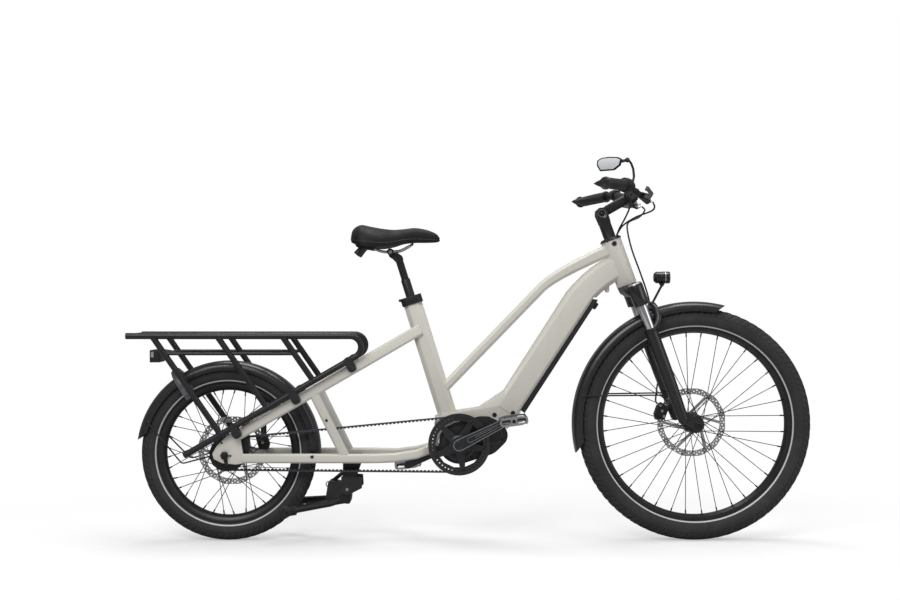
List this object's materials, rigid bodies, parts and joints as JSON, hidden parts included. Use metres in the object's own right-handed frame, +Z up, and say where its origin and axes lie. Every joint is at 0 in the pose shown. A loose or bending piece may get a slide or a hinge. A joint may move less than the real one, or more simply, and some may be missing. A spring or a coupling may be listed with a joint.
{
  "type": "longtail electric cargo bicycle",
  "caption": "Longtail cargo bicycle with mid motor, belt drive, down-tube battery, small rear wheel under a long tubular rack, suspension fork, mudguards, lights and centre stand.",
  "frame": {"origin": "on the ground under the middle of the bicycle's overall box, in its plane of symmetry", "axes": "+X forwards along the bicycle, +Y to the rider's left, +Z up"},
  "size_m": [1.9716, 0.667, 1.1335],
  "materials": {
    "frame_paint": "satin warm grey powder coat",
    "black_metal": "satin black anodised",
    "alloy_dark": "satin dark grey",
    "steel": "brushed",
    "chrome": "polished hard chrome",
    "dark_steel": "matt black paint",
    "tyre_rubber": "matt rubber",
    "soft_rubber": "matt rubber",
    "black_plastic": "matt moulded",
    "silver_plastic": "satin silver",
    "clear_lens": "clear",
    "saddle_cover": "matt smooth cover",
    "mirror_face": "silvered"
  },
  "bodies": {
    "frame": {"main_tube": "frame_paint", "top_tube": "frame_paint", "seat_tube": "frame_paint", "seat_stay_right": "frame_paint", "chain_stay_right": "frame_paint", "seat_stay_left": "frame_paint", "chain_stay_left": "frame_paint", "motor": "black_metal", "rack_side_right": "black_metal", "rack_side_left": "black_metal", "rack_deck": "black_metal", "tail_light": "black_plastic", "ring_lock": "dark_steel", "rear_mudguard": "black_plastic", "rear_caliper": "alloy_dark", "rear_axle": "dark_steel", "belt": "soft_rubber", "seat_collar": "black_metal", "kickstand_bracket": "black_metal"},
    "rear_wheel_body": {"rear_tyre": "tyre_rubber", "rear_wheel": "black_metal", "rear_rotor": "steel"},
    "sprocket_body": {"rear_sprocket": "dark_steel"},
    "crankset": {"cranks": "black_metal", "chainring": "black_metal"},
    "pedal_right_body": {"pedal_right": "alloy_dark"},
    "pedal_left_body": {"pedal_left": "alloy_dark"},
    "battery_body": {"battery": "black_plastic"},
    "steering": {"fork_crown": "black_metal", "stanchion_right": "chrome", "stanchion_left": "chrome", "stem_post": "black_metal", "brake_hose_rear": "soft_rubber", "brake_hose_front": "soft_rubber", "shift_cable": "soft_rubber"},
    "fork_slider": {"fork_lowers": "black_metal", "front_mudguard": "black_plastic", "front_caliper": "alloy_dark"},
    "front_wheel_body": {"front_tyre": "tyre_rubber", "front_wheel": "black_metal", "front_rotor": "steel"},
    "lamp": {"headlight": "black_plastic", "headlight_lens": "clear_lens"},
    "bars": {"stem_arm": "black_metal", "handlebar": "black_metal", "grip_right": "soft_rubber", "grip_left": "soft_rubber", "brake_clamp_right": "black_metal", "brake_clamp_left": "black_metal", "mirror_arm": "dark_steel"},
    "lever_right": {"brake_lever_right": "silver_plastic"},
    "lever_left": {"brake_lever_left": "silver_plastic"},
    "shifter": {"twist_shifter": "soft_rubber"},
    "mirror": {"mirror_housing": "black_plastic", "mirror_glass": "mirror_face"},
    "post_lower": {"seatpost_lower": "black_metal"},
    "seat": {"seatpost_upper": "alloy_dark", "saddle": "saddle_cover", "saddle_rails": "dark_steel"},
    "stand": {"kickstand": "black_metal"}
  },
  "joints": [
    {"name": "steering_turn", "type": "hinge", "parent": "frame", "child": "steering", "pos_m": [0.45226, 0, 0.74323], "axis": [-0.342, 0, 0.9397], "range_deg": [-60, 60]},
    {"name": "fork_travel", "type": "slide", "parent": "steering", "child": "fork_slider", "axis": [-0.342, 0, 0.9397], "range_m": [0, 0.05], "stiffness_N_per_m": 12000, "springref_m": -0.05, "deforming": ["brake_hose_front"]},
    {"name": "front_wheel_spin", "type": "hinge", "parent": "fork_slider", "child": "front_wheel_body", "pos_m": [0.64725, 0, 0.33851], "axis": [0, 1, 0], "continuous": true},
    {"name": "lamp_tilt", "type": "hinge", "parent": "fork_slider", "child": "lamp", "pos_m": [0.55423, 0, 0.74171], "axis": [0, 1, 0], "range_deg": [-15, 15]},
    {"name": "stem_tilt", "type": "hinge", "parent": "steering", "child": "bars", "pos_m": [0.37702, 0, 0.94996], "axis": [0, -1, 0], "range_deg": [-15, 45], "deforming": ["brake_hose_rear", "brake_hose_front", "shift_cable"]},
    {"name": "brake_pull_right", "type": "hinge", "parent": "bars", "child": "lever_right", "pos_m": [0.48959, -0.137, 0.9874], "axis": [-0.4226, 0, -0.9063], "range_deg": [0, 10], "stiffness_Nm_per_rad": 1.5, "springref_deg": -8.59},
    {"name": "brake_pull_left", "type": "hinge", "parent": "bars", "child": "lever_left", "pos_m": [0.48959, 0.137, 0.9874], "axis": [0.4226, 0, 0.9063], "range_deg": [0, 10], "stiffness_Nm_per_rad": 1.5, "springref_deg": -8.59},
    {"name": "shifter_twist", "type": "hinge", "parent": "bars", "child": "shifter", "pos_m": [0.42288, -0.186, 1.0164], "axis": [-0.4685, -0.8823, -0.0444], "range_deg": [-75, 75]},
    {"name": "mirror_turn", "type": "hinge", "parent": "bars", "child": "mirror", "pos_m": [0.47702, 0.165, 1.12546], "axis": [0, 0, 1], "range_deg": [-40, 40]},
    {"name": "rear_wheel_spin", "type": "hinge", "parent": "frame", "child": "rear_wheel_body", "pos_m": [-0.70675, 0, 0.25483], "axis": [0, 1, 0], "continuous": true},
    {"name": "crank_spin", "type": "hinge", "parent": "frame", "child": "crankset", "pos_m": [-0.0373, 0, 0.28383], "axis": [0, 1, 0], "continuous": true, "deforming": ["belt"]},
    {"name": "sprocket_spin", "type": "hinge", "parent": "frame", "child": "sprocket_body", "pos_m": [-0.70675, 0, 0.25483], "axis": [0, 1, 0], "continuous": true},
    {"name": "pedal_right_spin", "type": "hinge", "parent": "crankset", "child": "pedal_right_body", "pos_m": [0.11484, -0.12, 0.35968], "axis": [0, 1, 0], "continuous": true},
    {"name": "pedal_left_spin", "type": "hinge", "parent": "crankset", "child": "pedal_left_body", "pos_m": [-0.18943, 0.12, 0.20797], "axis": [0, 1, 0], "continuous": true},
    {"name": "battery_swing", "type": "hinge", "parent": "frame", "child": "battery_body", "pos_m": [0.15236, 0, 0.37016], "axis": [0, 1, 0], "range_deg": [0, 8]},
    {"name": "seatpost_height", "type": "slide", "parent": "frame", "child": "post_lower", "axis": [-0.299, 0, 0.9542], "range_m": [-0.06, 0.06]},
    {"name": "saddle_height", "type": "slide", "parent": "post_lower", "child": "seat", "axis": [-0.299, 0, 0.9542], "range_m": [-0.035, 0.035]},
    {"name": "stand_fold", "type": "hinge", "parent": "frame", "child": "stand", "pos_m": [-0.36075, 0, 0.152], "axis": [0, -1, 0], "range_deg": [0, 88], "stiffness_Nm_per_rad": 3, "springref_deg": -40.11}
  ],
  "couplings": [
    {"joint": "sprocket_spin", "follows": "crank_spin", "ratio": 1.7692}
  ]
}
